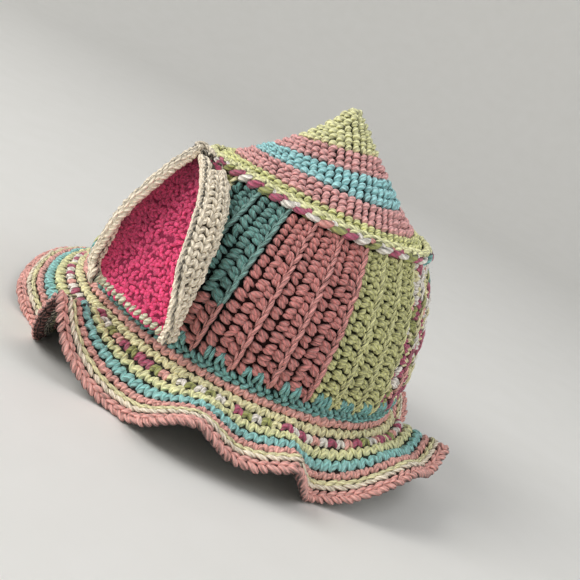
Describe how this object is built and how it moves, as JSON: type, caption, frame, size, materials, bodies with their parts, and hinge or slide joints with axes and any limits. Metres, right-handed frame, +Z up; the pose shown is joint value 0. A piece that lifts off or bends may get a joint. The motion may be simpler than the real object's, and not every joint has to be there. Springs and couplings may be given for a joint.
{
  "type": "crochet pixie hat",
  "caption": "Soft crochet hat with a ribbed panelled band, a striped pointed cone, a wavy ruffled brim and cupped, lined ears at the sides.",
  "frame": {"origin": "on the surface the brim rests on, under the middle of the hat's outline seen from above", "axes": "+Z up through the hat, +Y towards the back of the head, +X towards the wearer's left ear"},
  "size_m": [0.274, 0.2888, 0.1887],
  "materials": {
    "yarn_lime": "matt crochet yarn",
    "yarn_rose": "matt crochet yarn",
    "yarn_turquoise": "matt crochet yarn",
    "yarn_confetti": "matt crochet yarn, white with magenta and olive",
    "yarn_cream": "matt crochet yarn",
    "yarn_yellow": "matt crochet yarn",
    "yarn_pink": "matt crochet yarn"
  },
  "bodies": {
    "root": {"cone_lime_lower": "yarn_lime", "cone_rose_lower": "yarn_rose", "cone_turquoise": "yarn_turquoise", "cone_rose_upper": "yarn_rose", "cone_tip_lime": "yarn_lime", "crown_braid": "yarn_confetti", "band_turquoise_1": "yarn_turquoise", "band_rose_1": "yarn_rose", "band_lime_1": "yarn_lime", "band_confetti_1": "yarn_confetti", "band_turquoise_2": "yarn_turquoise", "band_rose_2": "yarn_rose", "band_lime_2": "yarn_lime", "band_confetti_2": "yarn_confetti", "band_turquoise_3": "yarn_turquoise", "band_rose_3": "yarn_rose", "band_lime_3": "yarn_lime", "band_confetti_3": "yarn_confetti", "base_round": "yarn_turquoise", "brim_inner": "yarn_yellow", "brim_middle": "yarn_turquoise", "brim_edge": "yarn_rose", "ear_left_shell": "yarn_cream", "ear_left_lining": "yarn_pink", "ear_left_edging": "yarn_cream", "ear_right_shell": "yarn_cream", "ear_right_lining": "yarn_pink", "ear_right_edging": "yarn_cream"}
  },
  "joints": []
}
